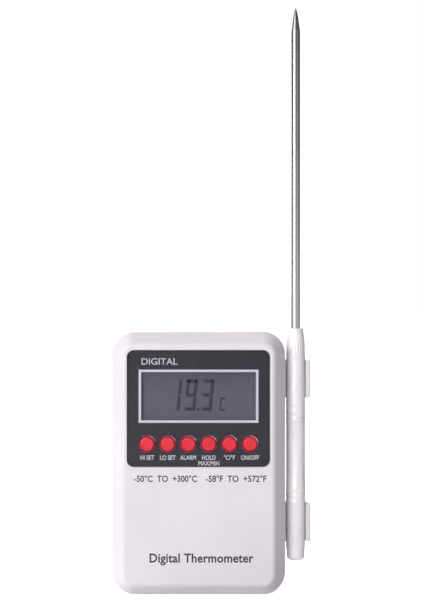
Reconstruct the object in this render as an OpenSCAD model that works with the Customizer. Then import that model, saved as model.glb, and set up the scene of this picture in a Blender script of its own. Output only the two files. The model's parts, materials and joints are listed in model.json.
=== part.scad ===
// Digital probe thermometer: a slim hand-held case with a display and six keys, and a long
// steel probe whose handle is held in two clips on the case's right side.
// X runs to the right, Y from front to back and Z up. The origin is at the middle of the case's base.

/* [Case] */
// Width of the case
case_w = 70; // [66:1:100]
// Height of the case
case_h = 106; // [104:1:150]
// Depth of the case, front to back
case_d = 20; // [19:0.5:30]
// Corner radius seen from the front
corner_r = 9; // [8:0.5:12]
// Width of the sloping border round the front face
slope_w = 4.6; // [3:0.1:5.5]
// Depth of the sloping border
slope_d = 5; // [3:0.1:7]
// Rounding of the back edges
back_edge_r = 2.5; // [1:0.1:3]
// Depth of the front shell, from the front face to the seam
front_shell_d = 11; // [10:0.5:12]
// Wall of the front shell
front_wall = 2.2; // [1.8:0.1:2.6]
// Wall of the rear shell
rear_wall = 2; // [1.6:0.1:2.4]
// Thickness of the tongue that lines the seam up
tongue_t = 1; // [0.8:0.1:1.2]
// How far the tongue reaches into the front shell
tongue_h = 1.5; // [1:0.1:1.6]

/* [Front panel] */
// Width of the black panel
panel_w = 57.2; // [54:0.2:58]
// Height of the black panel
panel_h = 46.7; // [44:0.1:50]
// Corner radius of the panel
panel_r = 2.8; // [1:0.1:4]
// Distance from the top of the case to the panel
panel_from_top = 7.2; // [6.5:0.1:10]
// Thickness of the clear lens
lens_t = 0.9; // [0.7:0.1:1.2]
// Thickness of the printed layer behind the lens
print_t = 0.1; // [0.05:0.05:0.2]
// Thickness of the adhesive sheet
adhesive_t = 0.15; // [0.1:0.05:0.2]
// How far the lens lies below the front face
lens_sink = 0.05; // [0:0.05:0.2]
// Width of the display window
window_w = 46; // [40:0.5:50]
// Height of the display window
window_h = 19.3; // [15:0.1:22]
// Distance from the top of the panel to the window
window_from_top = 8.8; // [8:0.1:12]

/* [Keys] */
// Distance between neighbouring keys
key_pitch = 8.24; // [7.8:0.01:9]
// Diameter of a key cap
key_d = 5.8; // [5:0.1:6.2]
// Gap all round a key cap in its hole
key_gap = 0.3; // [0.2:0.05:0.5]
// How far a key stands out of the lens
key_proud = 0.8; // [0.4:0.1:1.5]
// How far a key travels
key_travel = 0.9; // [0.5:0.1:1]
// Width of the flange that keeps a key in
key_flange = 0.5; // [0.4:0.1:0.8]
// Distance from the bottom of the panel to the keys' centres
key_from_bottom = 9.2; // [8:0.1:12]

/* [Display] */
// Width of the display glass
glass_w = 52; // [50:0.5:53]
// Height of the front glass
glass_h = 26.5; // [24:0.5:27]
// Strip at the top of the front glass that carries the contacts
glass_ledge = 2.7; // [2:0.1:4]
// Thickness of each glass
glass_t = 0.7; // [0.5:0.05:1]
// Thickness of each polariser
polariser_t = 0.2; // [0.1:0.05:0.3]

/* [Board] */
// Width of the circuit board
board_w = 62.4; // [60:0.2:63]
// Thickness of the circuit board
board_t = 1.6; // [1:0.1:1.6]
// Distance from the front wall to the board
board_standoff = 5.4; // [5:0.1:6]

/* [Battery] */
// Diameter of the battery
cell_d = 10.5; // [10.5:0.1:14.5]
// Length of the battery with its contact nub
cell_len = 44.5; // [36:0.5:50.5]
// Length of the compressed battery spring
spring_len = 2.4; // [2:0.1:5]
// Width of the battery door
door_w = 15; // [14.5:0.5:19]
// Thickness of the battery door
door_t = 1.5; // [1.2:0.1:1.8]

/* [Stand] */
// Thickness of the folding stand
stand_t = 2.2; // [1.8:0.1:2.4]
// Width of each stand leg
leg_w = 7; // [5:0.5:8]
// Height of the stand's foot bar
foot_h = 3.6; // [3:0.1:3.8]
// Radius of the stand's hinge pins
pin_r = 1; // [0.8:0.1:1]
// Gap all round the stand in its recess
stand_gap = 0.35; // [0.3:0.05:0.5]

/* [Probe] */
// Diameter of the probe's handle
handle_d = 7.8; // [6.5:0.1:10]
// Height of the handle's lower end above the base
handle_z = 17.4; // [15:0.1:19]
// Length of the handle's tube
handle_len = 77.4; // [76:0.1:100]
// Wall of the handle's tube
handle_wall = 0.85; // [0.8:0.05:1.2]
// Gap between the case and the handle
handle_gap = 0.8; // [0.6:0.1:2]
// Depth of the handle's axis behind the middle of the case
handle_y = 3; // [2.5:0.1:4]
// Length of the cap on the handle's lower end
end_cap_len = 4.8; // [3:0.1:8]
// Length of the tapered nose
nose_len = 12.5; // [8:0.1:20]
// Diameter of the nose where the needle leaves it
nose_tip_d = 6.2; // [5.4:0.1:6.4]
// Diameter of the needle
needle_d = 3.8; // [3:0.1:4.2]
// Wall of the needle's tube
needle_wall = 0.3; // [0.2:0.05:0.5]
// Length of the needle outside the nose
needle_len = 131.4; // [80:0.2:200]
// Length of the needle's pointed end
point_len = 9.7; // [6:0.1:15]

/* [Clips] */
// Height of each clip
clip_h = 15.3; // [10:0.1:16]
// Distance from the base to the lower clip
clip_z = 20.3; // [20:0.1:24]
// Distance between the two clips' lower edges
clip_pitch = 58.7; // [40:0.1:70]
// Thickness of the clips' arms
clip_wall = 1.9; // [1.4:0.1:2.2]
// Clearance round the handle in a clip
clip_gap = 0.1; // [0.05:0.05:0.2]
// How far the clips' arms reach in front of the handle's axis
clip_reach = 1.2; // [0.5:0.1:2]

/* [Fasteners] */
// Radius of the case screws' threads
case_screw_r = 1.1; // [1:0.05:1.3]
// Radius of the board screws' threads
board_screw_r = 0.85; // [0.7:0.05:0.9]
// Clearance round a screw in its hole
screw_gap = 0.05; // [0.02:0.01:0.1]

/* [Openings] */
// Radius of the hole for the probe's cable, in the case and in the handle
cable_r = 1.25; // [1:0.05:1.4]
// Radius of the hanging hole's round entry
hanger_r = 4; // [3.5:0.1:4.5]
// Radius of the hanging hole's narrow slot
hanger_slot_r = 2; // [1.8:0.1:2.2]

/* [Hidden] */
$fn = 64;
seam_gap = 0.15;                                  // between the tongue and the front shell
part_gap = 0.1;                                   // between pieces that are set in place and stay there
moving_gap = 0.3;                                 // between pieces that move past each other
front = -case_d / 2;
back = case_d / 2;
seam_y = front + front_shell_d;
inner_front = front + front_wall;
inner_back = back - rear_wall;
slope_len = sqrt(slope_w * slope_w + slope_d * slope_d);

lens_front = front + lens_sink;
lens_back = lens_front + lens_t;
print_back = lens_back + print_t;
recess_floor = print_back + adhesive_t;
panel_gap = 0.1;
panel_z = case_h - panel_from_top - panel_h / 2;
window_z = case_h - panel_from_top - window_from_top - window_h / 2;

keys_z = case_h - panel_from_top - panel_h + key_from_bottom;
key_count = 6;
key_front = lens_front - key_proud;
key_hole_r = key_d / 2 + key_gap;
flange_r = key_hole_r + key_flange;
flange_t = 0.8;
flange_front = inner_front + part_gap;
key_back = inner_front + 2.2;
key_stem_r = 1.8;
key_edge_r = 0.6;

board_front = inner_front + board_standoff;
board_back = board_front + board_t;
mat_t = 1;
mat_front = board_front - mat_t;
dome_r = 3.1;
dome_top_r = 2.2;
dome_wall = 0.5;
pill_r = 1.4;
pill_t = 0.5;
pill_back = board_front - key_travel - part_gap;
pill_front = pill_back - pill_t;
mat_h = 2 * dome_r + 0.8;

polariser_front = inner_front + 0.2;
glass_front = polariser_front + polariser_t;
glass_middle = glass_front + glass_t;
glass_back = glass_middle + glass_t;
lcd_back = glass_back + polariser_t;
glass_z0 = window_z - window_h / 2 - 3.6;
glass_z1 = glass_z0 + glass_h;
rear_glass_h = glass_h - glass_ledge;
holder_wall = 0.6;
holder_w = glass_w + 2 * part_gap + 2 * holder_wall;
holder_z0 = glass_z0 - part_gap - holder_wall;
holder_z1 = glass_z1 + part_gap + holder_wall;
zebra_w = glass_w - 4;
zebra_t = 1.7;
zebra_z = glass_z1 - glass_ledge / 2 + 0.2;

boss_r = 3;
rear_boss_r = 3.2;
boss_inset = corner_r - 2.2;
boss_x = case_w / 2 - boss_inset;
boss_zs = [boss_inset + 1.6, case_h - boss_inset - 1.2];
screw_head_r = 2.3;
screw_head_t = 1.6;
counterbore_floor = inner_back - 1.5;
case_screw_tip = inner_front + 1.8;

standoff_r = 1.9;
standoff_x = board_w / 2 - 1.4;
board_z0 = keys_z - mat_h / 2 - 0.7;
board_z1 = glass_z1 + 1;
standoff_zs = [keys_z - 1.3, glass_z1 - 2.7];
board_screw_tip = inner_front + 0.8;
board_head_r = 1.5;
board_head_t = 0.9;

cell_r = cell_d / 2;
contact_t = 0.3;
bay_wall = 1.2;
bay_half = cell_r + 0.35;
bay_z1 = board_z0 - 0.4 - bay_wall;
bay_z0 = bay_z1 - contact_t - cell_len - spring_len - contact_t;
cell_z1 = bay_z1 - contact_t;
cell_z0 = cell_z1 - cell_len;
nub_r = 1.9;
nub_len = 0.8;
door_front = back - door_t;
cell_y = door_front - 0.2 - cell_r;
bay_front = cell_y - cell_r - 0.2;
door_gap = 0.15;
door_z0 = bay_z0 + 0.25;
door_z1 = bay_z1 + 0.55;
ledge_back = door_front - moving_gap;
ledge_t = 1.4;
hook_x = bay_half - 1.4;
hook_w = 2.2;
hook_back = inner_back - moving_gap / 2;
hook_t = 0.9;
hook_drop = 0.95;

leg_x = door_w / 2 + 2.3 + leg_w / 2;
stand_w = 2 * leg_x + leg_w;
stand_back = back - 0.2;
stand_front = stand_back - stand_t;
recess_y = stand_front - moving_gap;
recess_wall = 1.5;
hinge_y = (stand_front + stand_back) / 2;
hinge_z = bay_z1 + 6.4;
pin_len = 1.8;
pin_gap = 0.05;
foot_z = 2.8;
hinge_end_r = stand_t / 2;

hanger_z = case_h - 19;
hanger_rise = 6;
hanger_box_d = 4;
buzzer_x = -case_w / 2 + 18;
buzzer_z = case_h - 28;
buzzer_r = 7.5;
buzzer_ring_h = 1.6;
buzzer_t = 0.4;
sound_hole_r = 0.6;

grommet_x = case_w / 2 - 12.5;
grommet_y = back - 5;
grommet_r = 1.9;
grommet_flange_r = 2.6;

handle_r = handle_d / 2;
handle_x = case_w / 2 + handle_gap + handle_r;
handle_top = handle_z + handle_len;
handle_bore_r = handle_r - handle_wall;
nose_top = handle_top + nose_len;
nose_plug_len = 7;
end_plug_len = 5;
needle_r = needle_d / 2;
needle_bore_r = needle_r - needle_wall;
shank_r = needle_r - 0.17;                        // the needle is ground down where it is glued in
needle_bottom = handle_top - 3;
needle_tip = nose_top + needle_len;
needle_shoulder = needle_tip - point_len;
tip_r = 0.3;
ring_proud = 0.12;
ring_w = 1.3;
ring_groups = [[handle_top - 17.4, 3.4], [handle_z + 24.9, 2.6]];   // top of each group, and its pitch
clip_r = handle_r + clip_gap;
clip_outer_r = clip_r + clip_wall;
sensor_z = needle_shoulder - 3;
sensor_r = 0.9;
wire_r = 0.25;
wire_x = 0.55;

key_names = ["high_set", "low_set", "alarm", "hold", "unit", "power"];

function key_x(i) = (i - (key_count - 1) / 2) * key_pitch;

// A profile's points for the front shell, inset by t: x runs outwards from a corner's centre
function front_profile(t) = [
    [0, -front - t],
    [corner_r - slope_w + t * (slope_w - slope_len) / slope_d, -front - t],
    [corner_r - t, -front - ((slope_w - t) * slope_d + t * slope_len) / slope_w],
    [corner_r - t, -seam_y],
    [0, -seam_y]
];

// Stands up what is drawn lying on its back, so that its top faces the front
module upright() { rotate([90, 0, 0]) children(); }

module rounded_rect(w, h, r) {
    square([w - 2 * r, h], center = true);
    square([w, h - 2 * r], center = true);
    for (x = [-1, 1], y = [-1, 1]) translate([x * (w / 2 - r), y * (h / 2 - r)]) circle(r);
}

// A plate with rounded corners, from y0 to y1, centred on x = 0 and z
module plate(w, h, r, y0, y1, z) {
    translate([0, y1, z]) upright() linear_extrude(y1 - y0) rounded_rect(w, h, r);
}

module block(x0, x1, y0, y1, z0, z1) {
    translate([x0, y0, z0]) cube([x1 - x0, y1 - y0, z1 - z0]);
}

// A rod along Y from y0 to y1
module rod(x, z, r, y0, y1) {
    translate([x, y1, z]) upright() cylinder(r = r, h = y1 - y0);
}

// A round wire with rounded ends along a list of points
module wire(points, r) {
    for (i = [0 : len(points) - 2]) hull() {
        translate(points[i]) sphere(r = r, $fn = 12);
        translate(points[i + 1]) sphere(r = r, $fn = 12);
    }
}

// Carries an edge profile round the case's outline. The profile is full height at x = 0
module round_case(depth_from, depth_to) {
    x0 = case_w / 2 - corner_r;
    z0 = case_h / 2 - corner_r;
    corners = [[x0, z0], [-x0, z0], [-x0, -z0], [x0, -z0]];
    upright() translate([0, case_h / 2, 0]) {
        for (i = [0 : 3]) translate(corners[i]) rotate(90 * i) {
            rotate_extrude(angle = 90) children();
            upright() linear_extrude(i % 2 == 0 ? 2 * z0 : 2 * x0) children();
        }
        translate([-x0, -z0, -depth_to]) cube([2 * x0, 2 * z0, depth_to - depth_from]);
    }
}

// The rear shell's edge profile, inset by t from the outside
module rear_profile(t, r) {
    translate([0, -back + t + r]) square([corner_r - t, back - t - r - seam_y]);
    translate([0, -back + t]) square([corner_r - t - r, back - t - seam_y]);
    translate([corner_r - t - r, -back + t + r]) circle(r);
}

// A straight length of the case's outline as a closed ring, from y0 to y1
module outline_ring(inset, t, y0, y1) {
    difference() {
        plate(case_w - 2 * inset, case_h - 2 * inset, corner_r - inset, y0, y1, case_h / 2);
        plate(case_w - 2 * (inset + t), case_h - 2 * (inset + t), corner_r - inset - t,
            y0 - 1, y1 + 1, case_h / 2);
    }
}

module at_case_screws() {
    for (x = [-boss_x, boss_x], z = boss_zs) translate([x, 0, z]) children();
}

module at_board_screws() {
    for (x = [-standoff_x, standoff_x], z = standoff_zs) translate([x, 0, z]) children();
}

module front_case() {
    color("whitesmoke") difference() {
        union() {
            difference() {
                round_case(front, seam_y) polygon(front_profile(0));
                round_case(inner_front, seam_y) polygon(front_profile(front_wall));
            }
            at_case_screws() rod(0, 0, boss_r, inner_front - 0.5, seam_y);
            at_board_screws() rod(0, 0, standoff_r, inner_front - 0.5, board_front);
        }
        plate(panel_w + 2 * panel_gap, panel_h + 2 * panel_gap, panel_r + panel_gap,
            front - 1, recess_floor, panel_z);
        plate(window_w + 1, window_h + 1, 0.5, front, inner_front + 0.5, window_z);
        for (i = [0 : key_count - 1]) rod(key_x(i), keys_z, key_hole_r, front, inner_front + 0.5);
        at_case_screws() rod(0, 0, case_screw_r + screw_gap, case_screw_tip - 0.3, seam_y + 1);
        at_board_screws()
            rod(0, 0, board_screw_r + screw_gap, board_screw_tip - 0.2, board_front + 1);
    }
}

// The outside of one clip in plan, as its mouth faces the front
module clip_outline() {
    translate([handle_x, handle_y]) circle(clip_outer_r);
    translate([handle_x, handle_y - clip_reach]) square([clip_outer_r, clip_reach]);
    translate([case_w / 2 - 1, seam_y + 0.05])
        square([handle_x - case_w / 2 + 1, handle_y + clip_outer_r - 1 - seam_y]);
}

module clip_throat() {
    translate([handle_x, handle_y]) circle(clip_r);
    translate([handle_x - clip_r, handle_y - 12]) square([2 * clip_r, 12]);
}

// What the clips cut away so that nothing lies inside the case or across the seam
module clip_limits() {
    translate([case_w / 2 - 1, seam_y + 0.05])
        square([2 * clip_outer_r + handle_gap + 2, back - seam_y - 0.5]);
}

module clips() {
    for (z = [clip_z, clip_z + clip_pitch]) translate([0, 0, z]) linear_extrude(clip_h)
        difference() {
            intersection() {
                clip_outline();
                clip_limits();
            }
            clip_throat();
        }
}

module battery_bay() {
    block(-bay_half - bay_wall, bay_half + bay_wall, bay_front - bay_wall, ledge_back,
        bay_z0 - bay_wall, bay_z1 + bay_wall);
    block(-door_w / 2 - 1.7, door_w / 2 + 1.7, ledge_back - ledge_t, ledge_back,
        bay_z0 - 1, bay_z1 + 2);
}

// The U-shaped recess for the stand, widened by the gap on every side
module stand_recess(y0, grow) {
    for (side = [-1, 1]) translate([side * leg_x, 0, 0])
        block(-leg_w / 2 - grow, leg_w / 2 + grow, y0, back + 1,
            foot_z - grow, hinge_z + hinge_end_r + grow);
    block(-stand_w / 2 - grow, stand_w / 2 + grow, y0, back + 1,
        foot_z - grow, foot_z + foot_h + grow);
}

module rear_case() {
    pad_x = stand_w / 2 + stand_gap + 1.2;
    socket_x = stand_w / 2 + stand_gap + pin_len + 1.4;
    color("whitesmoke") difference() {
        union() {
            difference() {
                round_case(seam_y, back) rear_profile(0, back_edge_r);
                round_case(seam_y, inner_back) rear_profile(rear_wall, 0.5);
            }
            outline_ring(front_wall + seam_gap, tongue_t, seam_y - tongue_h, seam_y + 1.2);
            outline_ring(rear_wall - 0.5, tongue_t + 0.85, seam_y, seam_y + 1.2);
            at_case_screws() rod(0, 0, rear_boss_r, seam_y, inner_back + 0.5);
            battery_bay();
            block(-pad_x, pad_x, recess_y - recess_wall, inner_back + 0.5,
                rear_wall - 0.5, hinge_z + hinge_end_r + 1.6);
            block(-socket_x, socket_x, recess_y - recess_wall, inner_back + 0.5,
                hinge_z - 3, hinge_z + 3);
            block(-hanger_r - 1.5, hanger_r + 1.5, inner_back - hanger_box_d, inner_back + 0.5,
                hanger_z - hanger_r - 1.5, hanger_z + hanger_rise + hanger_slot_r + 1.5);
            rod(buzzer_x, buzzer_z, buzzer_r + 0.2, inner_back - buzzer_ring_h, inner_back + 0.5);
            clips();
        }
        stand_recess(recess_y, stand_gap);
        block(-3.5, 3.5, recess_y, back + 1, foot_z - 0.6, foot_z);
        translate([-stand_w / 2 - stand_gap - pin_len - 0.2, hinge_y, hinge_z]) rotate([0, 90, 0])
            cylinder(r = pin_r + pin_gap, h = stand_w + 2 * (stand_gap + pin_len + 0.2));
        block(-bay_half, bay_half, bay_front, back + 1, bay_z0, bay_z1);
        block(-door_w / 2 - door_gap, door_w / 2 + door_gap, ledge_back, back + 1,
            door_z0 - door_gap, door_z1 + door_gap);
        for (side = [-1, 1]) translate([side * hook_x, 0, 0])
            block(-hook_w / 2 - 0.2, hook_w / 2 + 0.2, hook_back - hook_t - 0.3, inner_back,
                bay_z0 - hook_drop + 0.05, bay_z0 + 1);
        block(-1.3, 1.3, cell_y + 0.8, cell_y + 1.6, bay_z1 - 1, bay_z1 + bay_wall + 1);
        block(-1.3, 1.3, cell_y - 1.6, cell_y - 0.8, bay_z0 - bay_wall - 1, bay_z0 + 1);
        at_case_screws() {
            rod(0, 0, case_screw_r + 0.2, seam_y - 1, back);
            rod(0, 0, screw_head_r + 0.2, counterbore_floor, back + 1);
        }
        rod(0, hanger_z, hanger_r, inner_back - 0.5, back + 1);
        block(-hanger_slot_r, hanger_slot_r, inner_back - 0.5, back + 1,
            hanger_z, hanger_z + hanger_rise);
        rod(0, hanger_z + hanger_rise, hanger_slot_r, inner_back - 0.5, back + 1);
        block(-hanger_r - 0.3, hanger_r + 0.3, inner_back - hanger_box_d + 1.2, inner_back,
            hanger_z - hanger_r - 0.3, hanger_z + hanger_rise + hanger_slot_r + 0.3);
        rod(buzzer_x, buzzer_z, buzzer_r - 1.2, inner_back - buzzer_ring_h - 1, inner_back);
        for (a = [0 : 72 : 288]) rod(buzzer_x + 2.6 * cos(a), buzzer_z + 2.6 * sin(a),
            sound_hole_r, inner_back - 1, back + 1);
        rod(buzzer_x, buzzer_z, sound_hole_r, inner_back - 1, back + 1);
        translate([grommet_x, grommet_y, -1]) cylinder(r = grommet_r + 0.05, h = rear_wall + 2);
    }
}

module front_lens() {
    color([0.8, 0.85, 0.9, 0.3]) difference() {
        plate(panel_w, panel_h, panel_r, lens_front, lens_back, panel_z);
        for (i = [0 : key_count - 1]) rod(key_x(i), keys_z, key_hole_r, front - 1, recess_floor);
    }
}

// A thin layer behind the lens with the window and the key holes left open
module panel_layer(y0, y1, window_margin) {
    difference() {
        plate(panel_w, panel_h, panel_r, y0, y1, panel_z);
        plate(window_w + 2 * window_margin, window_h + 2 * window_margin, 0.4,
            y0 - 1, y1 + 1, window_z);
        for (i = [0 : key_count - 1]) rod(key_x(i), keys_z, key_hole_r, y0 - 1, y1 + 1);
    }
}

module panel_print() { color([0.2, 0.2, 0.25]) panel_layer(lens_back, print_back, 0); }

module lens_adhesive() { color("gainsboro") panel_layer(print_back, recess_floor, 0.5); }

module lcd_front_polariser() {
    color("slategray") plate(glass_w - 1, rear_glass_h - 0.6, 0.3, polariser_front, glass_front,
        glass_z0 + rear_glass_h / 2);
}

module lcd_front_glass() {
    color([0.6, 0.65, 0.65, 0.5])
        plate(glass_w, glass_h, 0.2, glass_front, glass_middle, glass_z0 + glass_h / 2);
}

module lcd_rear_glass() {
    color([0.55, 0.6, 0.6, 0.5])
        plate(glass_w, rear_glass_h, 0.2, glass_middle, glass_back, glass_z0 + rear_glass_h / 2);
}

module lcd_rear_polariser() {
    color("gray") plate(glass_w - 1, rear_glass_h - 0.6, 0.3, glass_back, lcd_back,
        glass_z0 + rear_glass_h / 2);
}

module lcd_holder() {
    holder_z = (holder_z0 + holder_z1) / 2;
    holder_h = holder_z1 - holder_z0;
    color("dimgray") difference() {
        plate(holder_w, holder_h, 0.8, inner_front + part_gap, board_front, holder_z);
        plate(glass_w + 2 * part_gap, glass_h + 2 * part_gap, 0.2, front, lcd_back,
            glass_z0 + glass_h / 2);
        plate(glass_w - 4, rear_glass_h - 4, 0.5, front, board_front + 1,
            glass_z0 + rear_glass_h / 2);
        block(-zebra_w / 2 - part_gap, zebra_w / 2 + part_gap, front, board_front + 1,
            zebra_z - zebra_t / 2 - part_gap, zebra_z + zebra_t / 2 + part_gap);
    }
}

module zebra_strip() {
    color("hotpink") block(-zebra_w / 2, zebra_w / 2, glass_middle, board_front,
        zebra_z - zebra_t / 2, zebra_z + zebra_t / 2);
}

module circuit_board() {
    color("darkgreen") difference() {
        plate(board_w, board_z1 - board_z0, 1, board_front, board_back, (board_z0 + board_z1) / 2);
        at_board_screws() rod(0, 0, board_screw_r + 0.15, board_front - 1, board_back + 1);
    }
}

module controller_chip() {
    color([0.12, 0.12, 0.12]) translate([2, board_back, window_z - 2]) rotate([-90, 0, 0]) {
        cylinder(r1 = 6.3, r2 = 5.6, h = 0.6);
        translate([0, 0, 0.6]) cylinder(r1 = 5.6, r2 = 3.5, h = 0.7);
    }
}

module quartz_crystal() {
    color("silver") translate([-12, board_back + 1, window_z - 12]) {
        cylinder(r = 1, h = 6);
        for (x = [-0.4, 0.4]) translate([x, 0, -1.5]) cylinder(r = 0.15, h = 1.6, $fn = 16);
    }
}

module chip_resistors() {
    color([0.2, 0.2, 0.2]) for (i = [0 : 5])
        block(14 + 3 * (i % 3), 15.2 + 3 * (i % 3), board_back, board_back + 0.5,
            window_z - 6 + 5 * floor(i / 3), window_z - 4 + 5 * floor(i / 3));
}

module buzzer() {
    color("goldenrod") {
        rod(buzzer_x, buzzer_z, buzzer_r, inner_back - buzzer_ring_h - buzzer_t,
            inner_back - buzzer_ring_h);
        rod(buzzer_x, buzzer_z, buzzer_r - 2.2, inner_back - buzzer_ring_h - buzzer_t - 0.3,
            inner_back - buzzer_ring_h - buzzer_t + 0.1);
    }
}

// One key's dome: a hollow cone on the mat with a solid pad on top
module dome(i) {
    translate([key_x(i), mat_front, keys_z]) upright() {
        cylinder(r1 = dome_r, r2 = dome_top_r, h = mat_front - pill_front + dome_wall);
        cylinder(r = dome_top_r, h = mat_front - key_back);
    }
}

module key_mat() {
    color("lightgray") difference() {
        union() {
            plate(2 * key_x(key_count - 1) + mat_h, mat_h, 1, mat_front, board_front, keys_z);
            for (i = [0 : key_count - 1]) dome(i);
        }
        for (i = [0 : key_count - 1]) translate([key_x(i), board_front + 1, keys_z]) upright() {
            cylinder(r = dome_r - dome_wall, h = board_front + 1 - mat_front);
            cylinder(r = pill_r + 0.3, h = board_front + 1 - pill_front);
        }
    }
}

module key_button(i) {
    color("crimson") translate([key_x(i), 0, keys_z]) upright() {
        difference() {
            rotate_extrude() {
                translate([0, -flange_front]) square([key_d / 2, flange_front - key_front - key_edge_r]);
                translate([0, -flange_front])
                    square([key_d / 2 - key_edge_r, flange_front - key_front]);
                intersection() {
                    translate([key_d / 2 - key_edge_r, -key_front - key_edge_r]) circle(key_edge_r);
                    translate([0, -flange_front]) square([key_d, flange_front - key_front]);
                }
            }
            translate([0, 0, -flange_front - 1]) cylinder(r = 1.1, h = 2.5);
        }
        translate([0, 0, -flange_front - flange_t]) cylinder(r = flange_r, h = flange_t);
        translate([0, 0, -key_back]) cylinder(r = key_stem_r, h = key_back - flange_front);
    }
}

module key_pill(i) { color([0.1, 0.1, 0.1]) rod(key_x(i), keys_z, pill_r, pill_front, pill_back); }

module case_screws() {
    color("silver") at_case_screws() difference() {
        union() {
            rod(0, 0, case_screw_r, case_screw_tip, counterbore_floor + 0.5);
            rod(0, 0, screw_head_r, counterbore_floor, counterbore_floor + screw_head_t);
        }
        for (a = [0, 90]) translate([0, counterbore_floor + 0.7, 0]) rotate([0, a, 0])
            translate([-1.4, 0, -0.25]) cube([2.8, screw_head_t, 0.5]);
    }
}

module board_screws() {
    color("silver") at_board_screws() difference() {
        union() {
            rod(0, 0, board_screw_r, board_screw_tip, board_back + 0.4);
            rod(0, 0, board_head_r, board_back, board_back + board_head_t);
        }
        for (a = [0, 90]) translate([0, board_back + 0.4, 0]) rotate([0, a, 0])
            translate([-0.9, 0, -0.2]) cube([1.8, board_head_t, 0.4]);
    }
}

jacket_t = 0.15;

module battery_cell() {
    color("silver") translate([0, cell_y, 0]) {
        translate([0, 0, cell_z0]) cylinder(r = cell_r - jacket_t, h = cell_len - nub_len);
        translate([0, 0, cell_z1 - nub_len - 0.1]) cylinder(r = nub_r, h = nub_len + 0.1);
    }
}

module battery_jacket() {
    color("steelblue") translate([0, cell_y, cell_z0 + 0.3]) difference() {
        cylinder(r = cell_r, h = cell_len - nub_len - 0.6);
        translate([0, 0, -1]) cylinder(r = cell_r - jacket_t, h = cell_len + 2);
    }
}

// A closed coil that narrows towards the battery, swept with eight sides
module battery_spring() {
    turns = 3;
    steps = 20 * turns;
    sides = 8;
    rise = spring_len - 0.5;
    points = [for (i = [0 : steps]) let (a = 360 * i / 20, r = 3.4 - 1.2 * i / steps)
        for (k = [0 : sides - 1]) let (b = 360 * k / sides, q = r + 0.25 * cos(b))
            [q * cos(a), q * sin(a), 0.25 + rise * i / steps + 0.25 * sin(b)]];
    faces = concat(
        [for (i = [0 : steps - 1], k = [0 : sides - 1]) let (n = (k + 1) % sides)
            [i * sides + k, (i + 1) * sides + k, (i + 1) * sides + n, i * sides + n]],
        [[for (k = [0 : sides - 1]) k]],
        [[for (k = [sides - 1 : -1 : 0]) steps * sides + k]]);
    color("silver") translate([0, cell_y, bay_z0 + contact_t]) polyhedron(points, faces);
}

module positive_contact() {
    color("silver") {
        block(-4, 4, cell_y - 3.5, cell_y + 3.5, bay_z1 - contact_t, bay_z1);
        block(-1, 1, cell_y + 1.05, cell_y + 1.35, bay_z1 - contact_t, bay_z1 + bay_wall + 2);
    }
}

module negative_contact() {
    color("silver") {
        block(-4, 4, cell_y - 3.6, cell_y + 3.6, bay_z0, bay_z0 + contact_t);
        block(-1, 1, cell_y - 1.35, cell_y - 1.05, bay_z0 - bay_wall - 1.2, bay_z0 + contact_t);
    }
}

module battery_wires() {
    tab_z = bay_z1 + bay_wall + 1.6;
    low_z = bay_z0 - bay_wall - 0.8;
    side_x = bay_half + bay_wall + 0.8;
    color("firebrick") wire([[0.5, cell_y + 0.7, tab_z], [2.5, board_back + 1, tab_z + 2],
        [2.5, board_back + 0.4, tab_z + 3]], 0.35);
    color("firebrick") wire([[-0.5, cell_y - 1.7, low_z], [-side_x, cell_y - 1.7, low_z],
        [-side_x, cell_y - 1.7, bay_z1 + 1], [-side_x, board_back + 0.4, tab_z + 3]], 0.35);
}

module battery_door() {
    color("whitesmoke") difference() {
        union() {
            block(-door_w / 2, door_w / 2, door_front, back, door_z0, door_z1);
            for (side = [-1, 1]) translate([side * hook_x, 0, 0]) {
                block(-hook_w / 2, hook_w / 2, hook_back - hook_t, hook_back,
                    bay_z0 - hook_drop + 0.35, door_z0 + 1);
                block(-hook_w / 2, hook_w / 2, hook_back - hook_t, door_front + 0.5,
                    door_z0, door_z0 + 1);
            }
        }
        for (i = [0 : 4]) translate([0, back, door_z1 - 5 - 1.6 * i])
            block(-4, 4, -0.4, 1, -0.4, 0.4);
    }
}

module stand() {
    color("whitesmoke") difference() {
        union() {
            for (side = [-1, 1]) translate([side * leg_x, 0, 0]) {
                block(-leg_w / 2, leg_w / 2, stand_front, stand_back, foot_z, hinge_z);
                translate([-leg_w / 2, hinge_y, hinge_z]) rotate([0, 90, 0])
                    cylinder(r = hinge_end_r, h = leg_w);
            }
            block(-stand_w / 2, stand_w / 2, stand_front, stand_back, foot_z, foot_z + foot_h);
            for (side = [-1, 1])
                translate([side > 0 ? stand_w / 2 - 1 : -stand_w / 2 - stand_gap - pin_len,
                    hinge_y, hinge_z])
                    rotate([0, 90, 0]) cylinder(r = pin_r, h = 1 + stand_gap + pin_len);
        }
        translate([0, stand_front, 0]) block(-3.5, 3.5, -0.5, 1.2, foot_z - 1, foot_z + 1.4);
    }
}

module cable_grommet() {
    color("dimgray") translate([grommet_x, grommet_y, 0]) difference() {
        union() {
            translate([0, 0, 0.2]) cylinder(r = grommet_r, h = rear_wall + 0.5);
            translate([0, 0, rear_wall]) cylinder(r = grommet_flange_r, h = 1.2);
        }
        translate([0, 0, -1]) cylinder(r = cable_r, h = rear_wall + 4);
    }
}

module at_handle() { translate([handle_x, handle_y, 0]) children(); }

module probe_needle() {
    color("silver") at_handle() rotate_extrude() polygon([
        [needle_bore_r, needle_bottom],
        [shank_r, needle_bottom],
        [shank_r, nose_top],
        [needle_r, nose_top],
        [needle_r, needle_shoulder],
        [needle_r / 2, needle_tip - 3],
        [tip_r, needle_tip - 0.3],
        [0, needle_tip],
        [0, needle_shoulder + 3],
        [needle_bore_r / 2, needle_shoulder + 1.5],
        [needle_bore_r, needle_shoulder]
    ]);
}

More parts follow.
